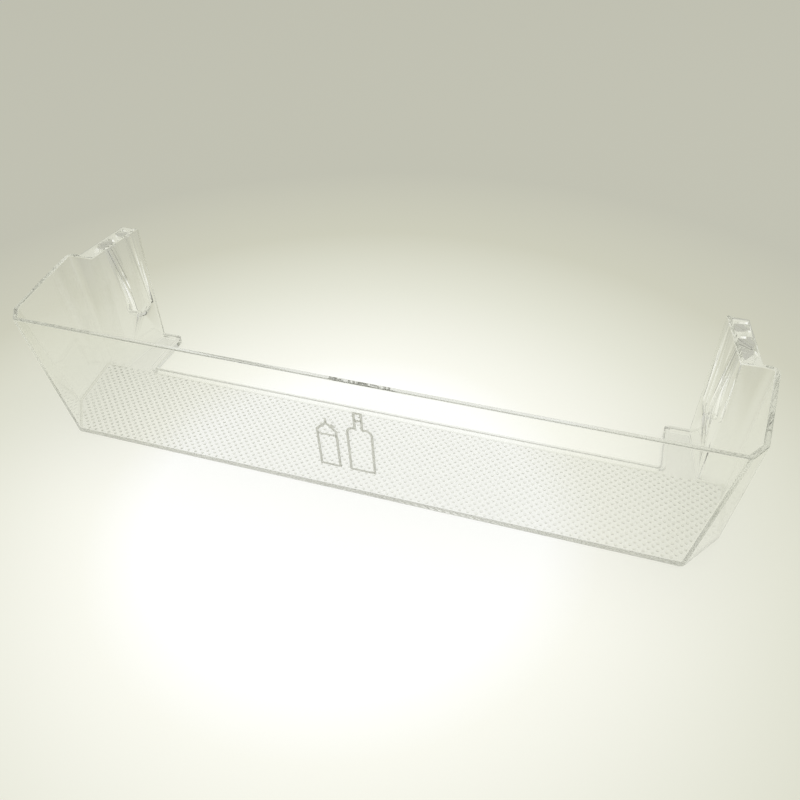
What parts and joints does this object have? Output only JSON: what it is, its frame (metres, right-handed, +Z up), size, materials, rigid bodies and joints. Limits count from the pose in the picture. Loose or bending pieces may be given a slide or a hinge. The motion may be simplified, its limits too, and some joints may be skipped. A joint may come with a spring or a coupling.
{
  "type": "fridge door shelf",
  "caption": "Clear moulded shelf for a fridge door: a shallow tray with leaning walls, stepped-in rear panels with hanging ledges and keys, and an open rear edged by a low lip.",
  "frame": {"origin": "middle of the bounding box, on the plane the shelf stands on", "axes": "+X along the width, -Y towards the shelf's front, +Z up"},
  "size_m": [0.444, 0.1184, 0.092],
  "materials": {
    "clear_plastic": "clear, polished"
  },
  "bodies": {
    "root": {"door_shelf": "clear_plastic"}
  },
  "joints": []
}
